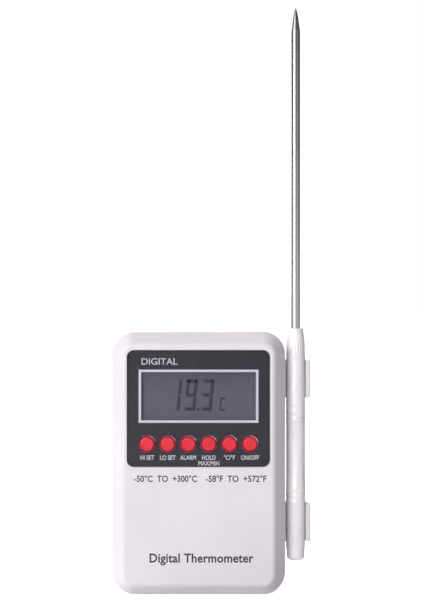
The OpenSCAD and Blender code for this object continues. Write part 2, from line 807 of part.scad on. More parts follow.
module thermistor() {
    color("black") at_handle() translate([0, 0, sensor_z]) {
        sphere(r = sensor_r);
        for (x = [-wire_x, wire_x]) translate([x, 0, -3]) cylinder(r = 0.15, h = 3, $fn = 16);
    }
}

module sensor_potting() {
    color("ivory") at_handle() difference() {
        translate([0, 0, sensor_z - 6]) cylinder(r = needle_bore_r - 0.02, h = 8.5);
        translate([0, 0, sensor_z - 7]) cylinder(r = sensor_r + 0.05, h = 7 + sensor_r + 0.05);
    }
}

module probe_wires() {
    wires_z = handle_z + end_plug_len + 1;
    color("firebrick") at_handle() for (x = [-wire_x, wire_x])
        translate([x, 0, wires_z]) cylinder(r = wire_r, h = sensor_z - 3 - wires_z);
}

module handle_nose() {
    color("whitesmoke") at_handle() difference() {
        rotate_extrude() polygon([
            [0, handle_top - nose_plug_len],
            [handle_bore_r - 0.05, handle_top - nose_plug_len],
            [handle_bore_r - 0.05, handle_top],
            [handle_r, handle_top],
            [handle_r - 0.1, handle_top + 0.3 * nose_len],
            [handle_r - 0.2, handle_top + 0.6 * nose_len],
            [nose_tip_d / 2 + 0.3, handle_top + 0.78 * nose_len],
            [nose_tip_d / 2, nose_top - 0.3],
            [nose_tip_d / 2 - 0.3, nose_top],
            [0, nose_top]
        ]);
        translate([0, 0, needle_bottom]) cylinder(r = shank_r + 0.02, h = nose_len + 10);
        translate([0, 0, handle_top - nose_plug_len - 1]) cylinder(r = needle_bore_r, h = 12);
    }
}

module handle_tube() {
    color("whitesmoke") at_handle() difference() {
        union() {
            translate([0, 0, handle_z]) cylinder(r = handle_r, h = handle_len);
            for (group = ring_groups, i = [0 : 2]) translate([0, 0, group[0] - i * group[1] - ring_w])
                cylinder(r = handle_r + ring_proud, h = ring_w);
        }
        translate([0, 0, handle_z - 1]) cylinder(r = handle_bore_r, h = handle_len + 2);
    }
}

module handle_end_cap() {
    cap_r = handle_r - 0.15;
    cap_z = handle_z - end_cap_len;
    color("whitesmoke") at_handle() difference() {
        rotate_extrude() polygon([
            [0, cap_z],
            [cap_r - 1.1, cap_z],
            [cap_r - 0.4, cap_z + 0.4],
            [cap_r - 0.15, cap_z + 1.1],
            [cap_r, handle_z],
            [handle_bore_r - 0.05, handle_z],
            [handle_bore_r - 0.05, handle_z + end_plug_len],
            [0, handle_z + end_plug_len]
        ]);
        translate([0, 0, cap_z - 1]) cylinder(r = cable_r, h = end_cap_len + end_plug_len + 2);
    }
}

front_case();
rear_case();
front_lens();
panel_print();
lens_adhesive();
lcd_front_polariser();
lcd_front_glass();
lcd_rear_glass();
lcd_rear_polariser();
lcd_holder();
zebra_strip();
circuit_board();
controller_chip();
quartz_crystal();
chip_resistors();
buzzer();
key_mat();
for (i = [0 : key_count - 1]) {
    key_button(i);
    key_pill(i);
}
case_screws();
board_screws();
battery_cell();
battery_jacket();
battery_spring();
positive_contact();
negative_contact();
battery_wires();
battery_door();
stand();
cable_grommet();
probe_needle();
thermistor();
sensor_potting();
probe_wires();
handle_nose();
handle_tube();
handle_end_cap();
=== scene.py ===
import json
import math

import bmesh
import bpy
from mathutils import Matrix, Vector


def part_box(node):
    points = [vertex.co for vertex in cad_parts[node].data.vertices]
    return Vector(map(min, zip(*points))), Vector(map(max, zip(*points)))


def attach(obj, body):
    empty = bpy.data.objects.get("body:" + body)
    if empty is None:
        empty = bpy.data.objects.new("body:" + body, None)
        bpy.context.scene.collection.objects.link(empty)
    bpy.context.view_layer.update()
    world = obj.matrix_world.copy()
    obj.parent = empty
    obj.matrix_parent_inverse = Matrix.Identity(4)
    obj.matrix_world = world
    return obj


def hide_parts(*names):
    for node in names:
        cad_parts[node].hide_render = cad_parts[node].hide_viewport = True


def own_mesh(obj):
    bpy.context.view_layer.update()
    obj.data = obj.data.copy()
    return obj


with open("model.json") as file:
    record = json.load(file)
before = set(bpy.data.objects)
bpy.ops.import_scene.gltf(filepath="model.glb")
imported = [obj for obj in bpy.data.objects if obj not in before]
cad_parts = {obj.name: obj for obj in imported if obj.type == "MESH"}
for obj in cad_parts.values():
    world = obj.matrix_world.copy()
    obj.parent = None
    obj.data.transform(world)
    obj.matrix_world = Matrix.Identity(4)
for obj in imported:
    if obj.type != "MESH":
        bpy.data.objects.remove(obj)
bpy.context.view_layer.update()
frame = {"nodes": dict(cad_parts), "record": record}
nodes = frame["nodes"]
bodyOf = {node: body for body, members in frame["record"]["behaviour"]["bodies"].items() for node in members}
slotOf = {node: nodes[node].data.materials[0].name for node in nodes}
mm = 0.001
print("frame loaded:", len(nodes), "CAD nodes")


def deselectAll():
    bpy.ops.object.select_all(action="DESELECT")


def makeActive(piece):
    deselectAll()
    piece.select_set(True)
    bpy.context.view_layer.objects.active = piece


def startEdit(piece, kind="FACE"):
    makeActive(piece)
    bpy.ops.object.mode_set(mode="EDIT")
    bpy.ops.mesh.select_mode(type=kind)
    bpy.ops.mesh.select_all(action="DESELECT")


def endEdit():
    bpy.ops.object.mode_set(mode="OBJECT")


def pickFaces(piece, wanted):
    mesh = bmesh.from_edit_mesh(piece.data)
    mesh.normal_update()
    for face in mesh.faces:
        face.select_set(bool(wanted(face.calc_center_median(), face.normal)))
    bmesh.update_edit_mesh(piece.data)


def pickEdges(piece, wanted):
    mesh = bmesh.from_edit_mesh(piece.data)
    for edge in mesh.edges:
        edge.select_set(bool(wanted(edge.verts[0].co, edge.verts[1].co)))
    bmesh.update_edit_mesh(piece.data)


def pickVerts(piece, wanted):
    mesh = bmesh.from_edit_mesh(piece.data)
    for vert in mesh.verts:
        vert.select_set(bool(wanted(vert.co)))
    mesh.select_flush_mode()
    bmesh.update_edit_mesh(piece.data)


def applyPlace(piece):
    makeActive(piece)
    bpy.ops.object.transform_apply(location=True, rotation=True, scale=True)


def useModifier(piece, kind, **settings):
    makeActive(piece)
    modifier = piece.modifiers.new(kind, kind)
    for key, value in settings.items():
        setattr(modifier, key, value)
    bpy.ops.object.modifier_apply(modifier=modifier.name)


def smoothByAngle(piece, degrees=32):
    makeActive(piece)
    bpy.ops.object.shade_smooth_by_angle(angle=math.radians(degrees))


def softenEdges(piece, width, steps=2, above=35):
    useModifier(piece, "BEVEL", width=width * mm, segments=steps, limit_method="ANGLE",
                angle_limit=math.radians(above), use_clamp_overlap=False, harden_normals=False,
                miter_outer="MITER_ARC")


def keepFlats(piece):
    # flat walls stay flat in the shading beside their softened edges
    useModifier(piece, "WEIGHTED_NORMAL", mode="FACE_AREA_WITH_ANGLE", weight=80, keep_sharp=True)


def addBlock(name, low, high):
    # a block between two corners given in millimetres, its place in its mesh
    deselectAll()
    low, high = Vector(low) * mm, Vector(high) * mm
    bpy.ops.mesh.primitive_cube_add(size=1, location=(low + high) / 2, scale=high - low)
    piece = bpy.context.object
    piece.name = name
    applyPlace(piece)
    return piece


def addRoundedBlock(name, low, high, radius, steps=8):
    # the four edges that run front to back are rounded
    piece = addBlock(name, low, high)
    startEdit(piece, "EDGE")
    pickEdges(piece, lambda a, b: abs(a.x - b.x) < 1e-6 and abs(a.z - b.z) < 1e-6)
    bpy.ops.mesh.bevel(offset=radius * mm, segments=steps)
    endEdit()
    return piece


def addRod(name, centre, radius, length, axis="Y", sides=64):
    deselectAll()
    turn = {"Y": (math.pi / 2, 0, 0), "Z": (0, 0, 0)}[axis]
    bpy.ops.mesh.primitive_cylinder_add(vertices=sides, radius=radius * mm, depth=length * mm,
                                        location=Vector(centre) * mm, rotation=turn)
    piece = bpy.context.object
    piece.name = name
    applyPlace(piece)
    return piece


def spinProfile(name, profile, centre, steps=72):
    # profile: (radius, distance back from the centre) in millimetres, spun about a front-to-back axis
    deselectAll()
    along = Vector((0, 1, 0))
    across = Vector((1, 0, 0))
    middle = Vector(centre)
    points = [(middle + across * r + along * d) * mm for r, d in profile]
    mesh = bpy.data.meshes.new(name)
    mesh.from_pydata(points, [(i, i + 1) for i in range(len(points) - 1)], [])
    piece = bpy.data.objects.new(name, mesh)
    bpy.context.scene.collection.objects.link(piece)
    startEdit(piece, "VERT")
    bpy.ops.mesh.select_all(action="SELECT")
    bpy.ops.mesh.spin(steps=steps, angle=2 * math.pi, center=middle * mm, axis=along)
    bpy.ops.mesh.select_all(action="SELECT")
    bpy.ops.mesh.remove_doubles(threshold=1e-6)
    bpy.ops.mesh.normals_make_consistent(inside=False)
    endEdit()
    return piece


def cutAway(piece, cutters):
    for cutter in cutters:
        useModifier(piece, "BOOLEAN", operation="DIFFERENCE", object=cutter, solver="EXACT")
    deselectAll()
    for cutter in cutters:
        cutter.select_set(True)
    bpy.ops.object.delete()


def joinPieces(name, pieces):
    makeActive(pieces[0])
    for piece in pieces:
        piece.select_set(True)
    bpy.ops.object.join()
    joined = bpy.context.object
    joined.name = name
    return joined


def settle(piece, body, slotName, finish, *stands):
    # a finished piece: its finish, the body that it rides on and the CAD nodes that it stands for
    piece.data.materials.clear()
    piece.data.materials.append(finish)
    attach(piece, body)
    if stands:
        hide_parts(*stands)


class Field:
    # a socket that can be used in sums
    def __init__(self, tree, socket):
        self.tree = tree
        self.socket = socket

    def sum(self, operation, first, second=None):
        values = {0: first} if second is None else {0: first, 1: second}
        return self.tree.node("ShaderNodeMath", {"operation": operation}, values)

    def __add__(self, other):
        return self.sum("ADD", self, other)

    def __radd__(self, other):
        return self.sum("ADD", other, self)

    def __sub__(self, other):
        return self.sum("SUBTRACT", self, other)

    def __rsub__(self, other):
        return self.sum("SUBTRACT", other, self)

    def __mul__(self, other):
        return self.sum("MULTIPLY", self, other)

    def __rmul__(self, other):
        return self.sum("MULTIPLY", other, self)

    def above(self, edge):
        return self.sum("GREATER_THAN", self, edge)

    def below(self, edge):
        return self.sum("LESS_THAN", self, edge)

    def wave(self):
        return self.sum("SINE", self)

    def size(self):
        return self.sum("ABSOLUTE", self)

    def fit(self, low, high, newLow=0.0, newHigh=1.0):
        return self.tree.node("ShaderNodeMapRange", {"clamp": True},
                              {0: self, 1: low, 2: high, 3: newLow, 4: newHigh})


class Tree:
    def __init__(self, owner):
        owner.use_nodes = True
        self.owner = owner
        self.tree = owner.node_tree
        self.tree.nodes.clear()

    def node(self, kind, settings=None, values=None, out=0):
        made = self.tree.nodes.new(kind)
        for key, value in (settings or {}).items():
            setattr(made, key, value)
        for key, value in (values or {}).items():
            if isinstance(value, Field):
                self.tree.links.new(value.socket, made.inputs[key])
            else:
                made.inputs[key].default_value = value
        return Field(self, made.outputs[out])

    def place(self, stretch=(1, 1, 1)):
        spot = self.node("ShaderNodeTexCoord", out="Object")
        return self.node("ShaderNodeMapping", {}, {"Vector": spot, "Scale": stretch})

    def noise(self, scale, detail, stretch=(1, 1, 1)):
        return self.node("ShaderNodeTexNoise", {},
                         {"Vector": self.place(stretch), "Scale": scale, "Detail": detail}, out=0)

    def cells(self, scale):
        return self.node("ShaderNodeTexVoronoi", {}, {"Vector": self.place(), "Scale": scale})

    def axis(self, name):
        return self.node("ShaderNodeSeparateXYZ", {}, {0: self.place()}, out="XYZ".index(name))

    def mixColour(self, share, first, second):
        colours = [c if isinstance(c, Field) else (*c, 1) for c in (first, second)]
        return self.node("ShaderNodeMix", {"data_type": "RGBA"},
                         {0: share, 6: colours[0], 7: colours[1]}, out=2)

    def bump(self, height, depth):
        # depth in millimetres
        return self.node("ShaderNodeBump", {}, {"Height": height, "Distance": depth * mm, "Strength": 1.0})

    def surface(self, **values):
        # each keyword names one of the shader's sockets, with _ for a space
        named = {key.replace("_", " "): value for key, value in values.items()}
        shader = self.node("ShaderNodeBsdfPrincipled", {}, named)
        result = self.tree.nodes.new("ShaderNodeOutputMaterial")
        self.tree.links.new(shader.socket, result.inputs[0])
        return self.owner


def tone(red, green, blue):
    # a colour as a paint program shows it, made linear
    return tuple(((c / 255 + 0.055) / 1.055) ** 2.4 if c > 10 else c / 3294.6 for c in (red, green, blue))


def mouldedPlastic(name, light, dark, grain=0.012, grainScale=7000, gloss=0.42, flow=0.0, coat=0.0):
    # fine spark-eroded grain, a slight unevenness of colour and handling shine
    t = Tree(bpy.data.materials.new(name))
    cloud = t.noise(38, 3)
    fine = t.noise(grainScale, 2)
    speck = t.cells(grainScale * 0.6)
    colour = t.mixColour(cloud.fit(0.35, 0.7), light, dark)
    height = fine * 0.7 + speck * 0.3
    if flow:
        lines = t.noise(260, 4, (1, 1, 0.04))
        height = height + lines * flow
        colour = t.mixColour(lines.fit(0.4, 0.75, 0, 0.35), colour, dark)
    rub = t.noise(90, 4)
    return t.surface(Base_Color=colour, Roughness=rub.fit(0.3, 0.75, gloss - 0.06, gloss + 0.08),
                     Normal=t.bump(height, grain), Coat_Weight=coat, Coat_Roughness=0.12,
                     Specular_IOR_Level=0.45)


paintedKeyShade = {"from": 0.10, "to": 0.55, "share": 0.9}    # millimetres down from a key's top


def glossyRed(name):
    # painted shade: the red is darker down the side of a key than on its top, where the real key falls into
    # shade
    t = Tree(bpy.data.materials.new(name))
    cloud = t.noise(160, 3)
    colour = t.mixColour(cloud.fit(0.35, 0.7), tone(232, 24, 50), tone(218, 20, 44))
    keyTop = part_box("power_button")[0].y
    # painted shade: a darker red down the key's side
    side = t.axis("Y").fit(keyTop + paintedKeyShade["from"] * mm, keyTop + paintedKeyShade["to"] * mm, 0, paintedKeyShade["share"])
    colour = t.mixColour(side, colour, tone(128, 14, 38))
    ripple = t.noise(900, 2)
    return t.surface(Base_Color=colour, Roughness=cloud.fit(0.3, 0.7, 0.24, 0.34),
                     Normal=t.bump(ripple, 0.01), Coat_Weight=0.3, Coat_Roughness=0.08)


def collarRed(name):
    # deep red under a clear gloss, so that its lip catches the light
    t = Tree(bpy.data.materials.new(name))
    cloud = t.noise(220, 3)
    return t.surface(Base_Color=t.mixColour(cloud, tone(150, 22, 52), tone(122, 16, 42)),
                     Roughness=cloud.fit(0.3, 0.7, 0.12, 0.2), Normal=t.bump(cloud, 0.004),
                     Coat_Weight=1.0, Coat_Roughness=0.04)


def clearPlastic(name, share=0.035):
    t = Tree(bpy.data.materials.new(name))
    haze = t.noise(55, 3)
    rub = t.noise(2600, 2, (1, 1, 0.2))
    return t.surface(Base_Color=t.mixColour(haze, (0.10, 0.10, 0.12), (0.14, 0.14, 0.16)),
                     Roughness=haze.fit(0.3, 0.7, 0.03, 0.08), Normal=t.bump(rub, 0.0008),
                     Alpha=haze.fit(0.3, 0.7, share * 0.8, share * 1.2), IOR=1.49)


def panelInk(name, colour, deeper, gloss, coat):
    # screen-printed ink: fine mesh marks and a slightly uneven film
    t = Tree(bpy.data.materials.new(name))
    cloud = t.noise(45, 3)
    speck = t.noise(5200, 2)
    mesh = (t.axis("X") * 31000).wave() * (t.axis("Z") * 31000).wave()
    tinted = t.mixColour(cloud.fit(0.3, 0.7), colour, deeper)
    tinted = t.mixColour(speck.fit(0.55, 0.8, 0, 0.2), tinted, tuple(c * 1.6 for c in colour))
    return t.surface(Base_Color=tinted, Roughness=cloud.fit(0.3, 0.7, gloss, gloss + 0.1),
                     Normal=t.bump(mesh * 0.4 + speck, 0.004), Coat_Weight=coat, Coat_Roughness=0.06)


paintedFilmShade = {"side": 0.024, "low": 0.079, "high": 0.090}    # metres on the object


def displayFilm(name):
    # the reflective grey-violet of a resting display, with painted shade making it a little darker under its
    # upper edge, where the window's wall shades it, and painted light making it a little lighter towards both
    # sides
    t = Tree(bpy.data.materials.new(name))
    across = t.axis("X").size().fit(0.0, paintedFilmShade["side"])
    cloud = t.noise(70, 3)
    grain = t.noise(6500, 2)
    # painted shade and light: darker towards the top, lighter towards the sides
    low = t.axis("Z").fit(paintedFilmShade["low"], paintedFilmShade["high"], 1, 0)
    colour = t.mixColour(across * 0.2 + cloud * 0.3 + low * 0.5, tone(72, 70, 84), tone(94, 92, 106))
    colour = t.mixColour(grain.fit(0.4, 0.8, 0, 0.25), colour, tone(106, 104, 118))
    return t.surface(Base_Color=colour, Roughness=grain.fit(0.3, 0.7, 0.3, 0.42),
                     Normal=t.bump(grain, 0.002), Coat_Weight=0.15, Coat_Roughness=0.2)


def displayMark(name):
    t = Tree(bpy.data.materials.new(name))
    grain = t.noise(6500, 2)
    colour = t.mixColour(grain, tone(48, 45, 58), tone(56, 53, 66))
    return t.surface(Base_Color=colour, Roughness=grain.fit(0.3, 0.7, 0.35, 0.45),
                     Normal=t.bump(grain, 0.001))


def displayGlass(name):
    t = Tree(bpy.data.materials.new(name))
    haze = t.noise(60, 2)
    return t.surface(Base_Color=t.mixColour(haze, tone(150, 160, 158), tone(170, 178, 176)),
                     Roughness=haze.fit(0.3, 0.7, 0.03, 0.09), Alpha=haze.fit(0.3, 0.7, 0.3, 0.4), IOR=1.52,
                     Normal=t.bump(haze, 0.002))


paintedTipShade = {"from": 0.14, "to": 0.235, "wander": 0.03, "colour": (0.30, 0.29, 0.27)}    # heights in metres


def polishedSteel(name, tint, rough, stretch=(1, 1, 0.02), around=True, tipShadeShare=0.0):
    # drawn steel: fine lines along it, fainter polishing rings round it, and painted shade that darkens it
    # towards the tip
    t = Tree(bpy.data.materials.new(name))
    draw = t.noise(5200, 3, stretch)
    rings = t.noise(3400, 3, (0.03, 0.03, 1)) if around else t.noise(2200, 3)
    patch = t.noise(35, 3)
    colour = t.mixColour(patch.fit(0.3, 0.7), tint, tuple(c * 0.9 for c in tint))
    colour = t.mixColour(draw.fit(0.5, 0.8, 0, 0.2), colour, tuple(c * 0.72 for c in tint))
    # painted shade: the steel turns darker grey towards the needle's tip
    if tipShadeShare:
        height = t.axis("Z") + patch * paintedTipShade["wander"]
        colour = t.mixColour(height.fit(paintedTipShade["from"], paintedTipShade["to"], 0, tipShadeShare), colour, paintedTipShade["colour"])
    return t.surface(Base_Color=colour, Metallic=1.0,
                     Roughness=(draw * 0.5 + patch * 0.5).fit(0.3, 0.7, rough, rough + 0.12),
                     Normal=t.bump(draw * 0.5 + rings * 0.5, 0.003))


def softRubber(name, light, dark):
    t = Tree(bpy.data.materials.new(name))
    dust = t.noise(160, 4)
    grain = t.noise(3500, 3)
    return t.surface(Base_Color=t.mixColour(dust.fit(0.35, 0.8), dark, light),
                     Roughness=grain.fit(0.3, 0.7, 0.62, 0.82), Normal=t.bump(grain, 0.03))


def zebraRubber(name):
    # thin black and pink-grey layers along the strip
    t = Tree(bpy.data.materials.new(name))
    bands = (t.axis("X") * 21000).wave().fit(-0.2, 0.2)
    grain = t.noise(4000, 2)
    return t.surface(Base_Color=t.mixColour(bands, tone(28, 28, 30), tone(196, 170, 170)),
                     Roughness=grain.fit(0.3, 0.7, 0.6, 0.75), Normal=t.bump(grain + bands, 0.01))


def boardLaminate(name):
    # green mask over copper tracks, with the weave of the glass cloth under it
    t = Tree(bpy.data.materials.new(name))
    tracks = t.node("ShaderNodeTexBrick", {"offset": 0.5},
                    {"Vector": t.place(), "Scale": 190, "Mortar Size": 0.09, "Bias": 0.0}, out=1)
    wander = t.cells(260).fit(0.42, 0.5)
    weave = (t.axis("X") * 5200).wave() * (t.axis("Z") * 5200).wave()
    cloud = t.noise(300, 2)
    lines = tracks * 0.6 + wander * 0.4
    colour = t.mixColour(cloud, tone(18, 92, 58), tone(12, 76, 48))
    colour = t.mixColour(lines.fit(0.3, 0.6), colour, tone(52, 136, 84))
    return t.surface(Base_Color=colour, Roughness=cloud.fit(0.3, 0.7, 0.32, 0.45),
                     Normal=t.bump(lines * 0.7 + weave * 0.15, 0.03), Coat_Weight=0.25, Coat_Roughness=0.2)


def castEpoxy(name, light, dark, gloss=0.3):
    t = Tree(bpy.data.materials.new(name))
    swirl = t.noise(420, 4)
    grain = t.noise(5200, 2)
    return t.surface(Base_Color=t.mixColour(swirl.fit(0.3, 0.7), light, dark),
                     Roughness=swirl.fit(0.3, 0.7, gloss, gloss + 0.2),
                     Normal=t.bump(swirl + grain * 0.3, 0.02))


def buzzerBrass(name):
    # rolled brass sheet, slightly tarnished
    t = Tree(bpy.data.materials.new(name))
    rolled = t.noise(3600, 3, (0.03, 1, 1))
    stain = t.noise(130, 4)
    colour = t.mixColour(stain.fit(0.45, 0.75), (0.80, 0.58, 0.28), (0.52, 0.34, 0.16))
    return t.surface(Base_Color=colour, Metallic=1.0, Roughness=stain.fit(0.3, 0.7, 0.25, 0.42),
                     Normal=t.bump(rolled, 0.004))


jacket = {"band": 0.0425, "upperRule": 0.0416, "lowerRule": 0.0145, "ruleHalf": 0.0003}    # heights in metres


def batteryJacket(name):
    # plain two-tone film: dark body, copper-coloured band at the positive end, thin ruled lines
    t = Tree(bpy.data.materials.new(name))
    height = t.axis("Z")
    band = height.above(jacket["band"])
    rule = (height - jacket["upperRule"]).size().below(jacket["ruleHalf"])
    rule = rule + (height - jacket["lowerRule"]).size().below(jacket["ruleHalf"])
    foil = t.noise(1800, 3, (1, 1, 0.1))
    colour = t.mixColour(band, tone(34, 40, 52), tone(190, 122, 74))
    colour = t.mixColour(rule, colour, tone(212, 212, 210))
    colour = t.mixColour(foil.fit(0.4, 0.8, 0, 0.3), colour, tone(20, 22, 28))
    return t.surface(Base_Color=colour, Metallic=band * 0.7, Roughness=foil.fit(0.3, 0.7, 0.25, 0.4),
                     Normal=t.bump(foil, 0.006), Coat_Weight=0.4, Coat_Roughness=0.1)


def printedInk(name, colour, deeper):
    t = Tree(bpy.data.materials.new(name))
    speck = t.noise(9000, 2)
    thin = t.noise(700, 3)
    return t.surface(Base_Color=t.mixColour(thin.fit(0.35, 0.75), colour, deeper),
                     Roughness=speck.fit(0.3, 0.7, 0.45, 0.6), Normal=t.bump(speck, 0.002))


finishes = {
    "white_plastic": mouldedPlastic("casePlastic", (0.845, 0.79, 0.845), (0.80, 0.745, 0.80)),
    "handle_plastic": mouldedPlastic("handlePlastic", (0.86, 0.82, 0.85), (0.80, 0.76, 0.795), grain=0.006,
                                     gloss=0.3, flow=0.5, coat=0.12),
    "clear_lens": clearPlastic("clearLens"),
    "black_ink": panelInk("panelBlack", tone(34, 26, 44), tone(28, 21, 38), gloss=0.3, coat=0.2),
    "adhesive_film": panelInk("adhesiveSheet", tone(226, 222, 210), tone(210, 204, 190), gloss=0.45,
                              coat=0.0),
    "polariser": displayFilm("displayFilm"),
    "display_glass": displayGlass("displayGlass"),
    "grey_plastic": mouldedPlastic("holderPlastic", tone(132, 132, 138), tone(112, 112, 120), gloss=0.45),
    "zebra_rubber": zebraRubber("zebraRubber"),
    "board_laminate": boardLaminate("boardLaminate"),
    "black_epoxy": castEpoxy("blackEpoxy", tone(34, 34, 36), tone(18, 18, 20)),
    "bright_steel": polishedSteel("brightSteel", (0.78, 0.78, 0.79), 0.16, (1, 1, 0.05)),
    "plated_steel": polishedSteel("platedSteel", (0.72, 0.72, 0.74), 0.24, (1, 1, 1), around=False),
    "buzzer_brass": buzzerBrass("buzzerBrass"),
    "silicone": softRubber("keyMatRubber", tone(206, 206, 204), tone(184, 184, 184)),
    "red_plastic": glossyRed("keyRed"),
    "carbon_rubber": softRubber("carbonPill", tone(48, 48, 50), tone(24, 24, 26)),
    "battery_film": batteryJacket("batteryJacket"),
    "wire_sheath": mouldedPlastic("wireSheath", tone(186, 36, 34), tone(158, 28, 28), grainScale=3200,
                                  gloss=0.4),
    "black_rubber": softRubber("grommetRubber", tone(58, 57, 60), tone(34, 33, 36)),
    "stainless_steel": polishedSteel("needleSteel", (0.70, 0.66, 0.665), 0.27, tipShadeShare=0.85),
    "potting_resin": castEpoxy("pottingResin", tone(196, 168, 96), tone(168, 138, 70), 0.25),
}
whitePrint = printedInk("whitePrint", tone(224, 219, 232), tone(214, 209, 224))
greyPrint = printedInk("greyPrint", tone(212, 208, 222), tone(196, 192, 206))
violetPrint = printedInk("violetPrint", tone(58, 48, 68), tone(72, 60, 84))
displayInk = displayMark("displayInk")
darkRed = collarRed("collarRed")
print("finishes made:", len(finishes), "for the slots, five for the prints and the keys' collars")


view = {"place": (5.4, -504.0, 118.9), "angle": 27.3, "near": 0.01, "far": 100}
camera = bpy.data.objects.new("camera", bpy.data.cameras.new("camera"))
bpy.context.scene.collection.objects.link(camera)
camera.location = Vector(view["place"]) * mm
camera.rotation_euler = (math.pi / 2, 0, 0)
camera.data.sensor_fit = "VERTICAL"
camera.data.angle = math.radians(view["angle"])
camera.data.clip_start = view["near"]
camera.data.clip_end = view["far"]
bpy.context.scene.camera = camera
bpy.context.scene.view_settings.view_transform = "Standard"

# each lamp: its place, what it points at, its size in metres and its power
lampPlans = {"keyLamp": ((-0.62, -0.82, 0.46), (0, 0, 0.1), 0.7, 6.8),
             "backLamp": ((-0.35, 1.0, 0.55), (0, 0, 0.08), 0.9, 4.0),
             "handleLamp": ((-0.22, -0.97, 0.2), (0.04, 0, 0.06), 0.5, 2.7),
             "glintStrip": ((0.48, -0.10, 0.55), (0, -0.01, 0.061), 1.3, 2.6),
             "needleLamp": ((0.70, -0.62, 0.30), (0.04, 0, 0.15), 0.8, 0.9)}
stripThick = 0.06
lamps = {}
for name, (place, target, size, power) in lampPlans.items():
    lamp = bpy.data.objects.new(name, bpy.data.lights.new(name, "AREA"))
    bpy.context.scene.collection.objects.link(lamp)
    lamp.data.shape = "DISK"
    lamp.data.size = size
    lamp.data.energy = power
    lamp.location = place
    lamp.rotation_euler = (Vector(target) - Vector(place)).to_track_quat("-Z", "Y").to_euler()
    lamps[name] = lamp

# a long thin strip to the keys' upper right, turned so that its glint slants across each key
strip = lamps["glintStrip"]
strip.data.shape = "RECTANGLE"
strip.data.size_y = stripThick
away = (strip.location - Vector(lampPlans["glintStrip"][1])).normalized()
along = Vector((-1, 0, 1)).normalized()
along = (along - away * along.dot(away)).normalized()
strip.rotation_euler = Matrix((along, away.cross(along), away)).transposed().to_euler()
handleLit = bpy.data.collections.new("handleLit")
needleLit = bpy.data.collections.new("needleLit")
keysLit = bpy.data.collections.new("keysLit")
for name, lit in (("needleLamp", needleLit), ("handleLamp", handleLit), ("glintStrip", keysLit)):
    lamps[name].light_linking.receiver_collection = lit

# how bright the surround is, and between which directions it falls off
studio = {"surround": 1.32, "right": 0.0, "left": 0.0, "behind": 0.8, "fallRight": (-0.4, 0.26),
          "fallLeft": (-0.95, -0.35), "fallBehind": (0.3, 0.8)}
world = bpy.data.worlds.new("studio")
bpy.context.scene.world = world
sky = Tree(world)
direction = sky.node("ShaderNodeTexCoord", out="Generated")
seen = sky.node("ShaderNodeLightPath", out="Is Camera Ray")
towards = sky.node("ShaderNodeSeparateXYZ", {}, {0: direction}, out=1)
sideways = sky.node("ShaderNodeSeparateXYZ", {}, {0: direction}, out=0)
front = sideways.fit(*studio["fallRight"], studio["surround"], studio["right"])    # darker to the right
front = front * sideways.fit(*studio["fallLeft"], studio["left"], 1)    # and to the far left
strength = seen.sum("MAXIMUM", seen, front + towards.fit(*studio["fallBehind"], 0, studio["behind"]))
glow = sky.node("ShaderNodeBackground", {}, {"Color": (1, 1, 1, 1), "Strength": strength})
skyOut = sky.tree.nodes.new("ShaderNodeOutputWorld")
sky.tree.links.new(glow.socket, skyOut.inputs[0])

# the floor is paper, and the camera sees it brighter than the lamps make it
floorPlan = {"radius": 14, "dark": (0.86, 0.86, 0.86), "pale": (0.90, 0.90, 0.90), "seen": (0.8, 0.8, 0.8)}
deselectAll()
bpy.ops.mesh.primitive_circle_add(vertices=96, radius=floorPlan["radius"], fill_type="NGON",
                                  location=(0, 0, 0))
floor = bpy.context.object
floor.name = "floor"
paper = Tree(bpy.data.materials.new("paleFloor"))
fibre = paper.noise(900, 3)
looked = paper.node("ShaderNodeLightPath", out="Is Camera Ray")
paleFloor = paper.surface(Base_Color=paper.mixColour(fibre, floorPlan["dark"], floorPlan["pale"]),
                          Roughness=fibre.fit(0.3, 0.7, 0.8, 0.95), Normal=paper.bump(fibre, 0.02),
                          Emission_Color=paper.mixColour(looked, (0, 0, 0), floorPlan["seen"]),
                          Emission_Strength=1.0)
floor.data.materials.append(paleFloor)
print("camera, light and floor ready")


def refineNode(node, width, join=True):
    # a copy of a CAD node with its doubles merged, its edges softened and its shading cleaned
    piece = bpy.data.objects.new(node + "_piece", nodes[node].data.copy())
    bpy.context.scene.collection.objects.link(piece)
    startEdit(piece, "VERT")
    bpy.ops.mesh.select_all(action="SELECT")
    bpy.ops.mesh.customdata_custom_splitnormals_clear()
    bpy.ops.mesh.remove_doubles(threshold=2e-6)
    if join:
        bpy.ops.mesh.dissolve_limited(angle_limit=math.radians(0.6))
    endEdit()
    if width:
        softenEdges(piece, width)
    low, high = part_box(node)
    for vert in piece.data.vertices:
        vert.co = [min(max(vert.co[i], low[i]), high[i]) for i in range(3)]
    smoothByAngle(piece)
    if node != "handle_tube":    # its thin rings stay crisp
        keepFlats(piece)
    return piece


# the width of each node's softened edges in millimetres, 0 where only its shading is cleaned
softened = {"rear_case": 0.0, "battery_door": 0.0, "stand": 0.3, "case_screws": 0.06, "cable_grommet": 0.12,
            "handle_tube": 0.03, "handle_end_cap": 0.25, "probe_needle": 0.04, "battery_cell": 0.12,
            "battery_jacket": 0.02, "positive_contact": 0.04, "negative_contact": 0.04, "battery_spring": 0.0,
            "battery_wires": 0.0, "buzzer": 0.08, "lcd_holder": 0.0}
keptTriangles = ("rear_case", "battery_door")    # merging their flat faces breaks them
for node, width in softened.items():
    piece = refineNode(node, width, join=node not in keptTriangles)
    settle(piece, bodyOf[node], slotOf[node], finishes[slotOf[node]], node)
    print("softened", node, len(piece.data.polygons))
    if node.startswith("handle"):
        handleLit.objects.link(piece)
    if node == "probe_needle":
        needleLit.objects.link(piece)


